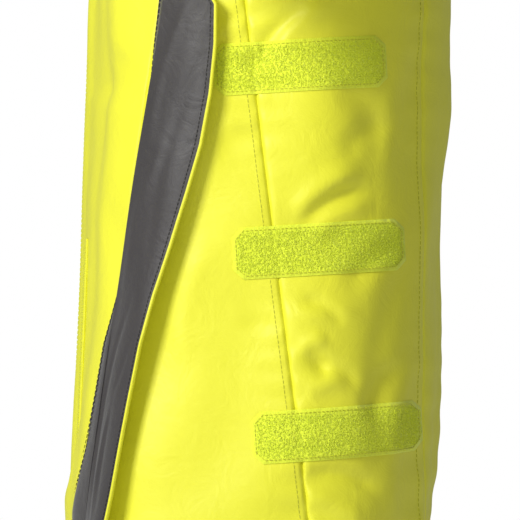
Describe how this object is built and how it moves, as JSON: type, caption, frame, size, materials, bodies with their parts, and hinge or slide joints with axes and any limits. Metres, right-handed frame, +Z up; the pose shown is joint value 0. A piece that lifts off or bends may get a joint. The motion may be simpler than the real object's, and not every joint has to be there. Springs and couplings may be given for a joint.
{
  "type": "foul weather jacket",
  "caption": "Hooded waterproof jacket of sewn panels with a front zip, raised sleeves with cuff tabs, slit pockets and a side vent under a lined flap that faces loop tape strips.",
  "frame": {"origin": "under the top bar of the hanger loop inside the collar's back, where a hook bears", "axes": "+X to the wearer's left, +Y to the back, +Z up"},
  "size_m": [1.6574, 0.2921, 1.0478],
  "materials": {
    "shell_fabric": "smooth coated woven polyester, fluorescent yellow",
    "grey_fabric": "smooth dark grey woven lining with a slight sheen",
    "loop_pile": "fuzzy loop pile, greener yellow",
    "hook_pile": "black hook tape",
    "zip_tape": "black woven zip tape",
    "zip_teeth": "moulded black teeth",
    "zip_metal": "dark coated metal"
  },
  "bodies": {
    "jacket": {"back_panel": "shell_fabric", "body_lining": "grey_fabric", "collar_lining": "grey_fabric", "collar_shell": "shell_fabric", "cuff_left": "shell_fabric", "cuff_loop_patch_left": "loop_pile", "cuff_loop_patch_right": "loop_pile", "cuff_right": "shell_fabric", "front_panel_left": "shell_fabric", "front_panel_right": "shell_fabric", "hanger_loop": "grey_fabric", "hem_facing": "grey_fabric", "pocket_bag_left": "grey_fabric", "pocket_bag_right": "grey_fabric", "shoulder_yoke": "shell_fabric", "side_back_panel_left": "shell_fabric", "side_back_panel_right": "shell_fabric", "sleeve_left": "shell_fabric", "sleeve_lining_left": "grey_fabric", "sleeve_lining_right": "grey_fabric", "sleeve_right": "shell_fabric", "storm_flap": "grey_fabric", "vent_gusset_left": "shell_fabric", "vent_gusset_right": "shell_fabric", "vent_loop_strip_lower_left": "loop_pile", "vent_loop_strip_lower_right": "loop_pile", "vent_loop_strip_middle_left": "loop_pile", "vent_loop_strip_middle_right": "loop_pile", "vent_loop_strip_upper_left": "loop_pile", "vent_loop_strip_upper_right": "loop_pile", "zip_stops": "zip_teeth", "zip_tape_left": "zip_tape", "zip_tape_right": "zip_tape", "zip_teeth_left": "zip_teeth", "zip_teeth_right": "zip_teeth"},
    "hood": {"hood_centre": "shell_fabric", "hood_side_left": "shell_fabric", "hood_side_right": "shell_fabric", "hood_visor": "shell_fabric"},
    "zip_slider": {"zip_slider": "zip_metal"},
    "zip_puller": {"zip_puller": "zip_metal"},
    "vent_flap_left": {"vent_flap_shell_left": "shell_fabric", "vent_flap_facing_left": "grey_fabric", "vent_flap_hook_pads_left": "hook_pile"},
    "pocket_flap_left": {"pocket_flap_left": "shell_fabric"},
    "cuff_tab_left": {"cuff_tab_left": "shell_fabric", "cuff_hook_patch_left": "hook_pile"},
    "vent_flap_right": {"vent_flap_shell_right": "shell_fabric", "vent_flap_facing_right": "grey_fabric", "vent_flap_hook_pads_right": "hook_pile"},
    "pocket_flap_right": {"pocket_flap_right": "shell_fabric"},
    "cuff_tab_right": {"cuff_tab_right": "shell_fabric", "cuff_hook_patch_right": "hook_pile"}
  },
  "joints": [
    {"name": "hood_tilt", "type": "hinge", "parent": "jacket", "child": "hood", "pos_m": [0, 0.0325, -0.081], "axis": [-1, 0, 0], "range_deg": [0, 95]},
    {"name": "vent_flap_left_hinge", "type": "hinge", "parent": "jacket", "child": "vent_flap_left", "pos_m": [0.18907, -0.20576, -0.756], "axis": [-0.0939, -0.1401, -0.9857], "range_deg": [-12, 100]},
    {"name": "vent_flap_right_hinge", "type": "hinge", "parent": "jacket", "child": "vent_flap_right", "pos_m": [-0.18907, -0.20576, -0.756], "axis": [-0.0939, 0.1401, 0.9857], "range_deg": [-12, 100]},
    {"name": "pocket_flap_left_hinge", "type": "hinge", "parent": "jacket", "child": "pocket_flap_left", "pos_m": [0.083, -0.21524, -0.682], "axis": [0, -0.0383, -0.9993], "range_deg": [0, 95]},
    {"name": "pocket_flap_right_hinge", "type": "hinge", "parent": "jacket", "child": "pocket_flap_right", "pos_m": [-0.083, -0.21524, -0.682], "axis": [0, 0.0383, 0.9993], "range_deg": [0, 95]},
    {"name": "cuff_tab_left_hinge", "type": "hinge", "parent": "jacket", "child": "cuff_tab_left", "pos_m": [0.78404, -0.02653, -0.21427], "axis": [-0.9819, 0.0282, 0.1873], "range_deg": [0, 110]},
    {"name": "cuff_tab_right_hinge", "type": "hinge", "parent": "jacket", "child": "cuff_tab_right", "pos_m": [-0.78404, -0.02653, -0.21427], "axis": [-0.9819, -0.0282, -0.1873], "range_deg": [0, 110]},
    {"name": "zip_slide", "type": "slide", "parent": "jacket", "child": "zip_slider", "axis": [0, 0.036, 0.9994], "range_m": [-0.455, 0]},
    {"name": "zip_puller_hinge", "type": "hinge", "parent": "zip_slider", "child": "zip_puller", "pos_m": [0, -0.20528, -0.28687], "axis": [-1, 0, 0], "range_deg": [0, 170]}
  ]
}
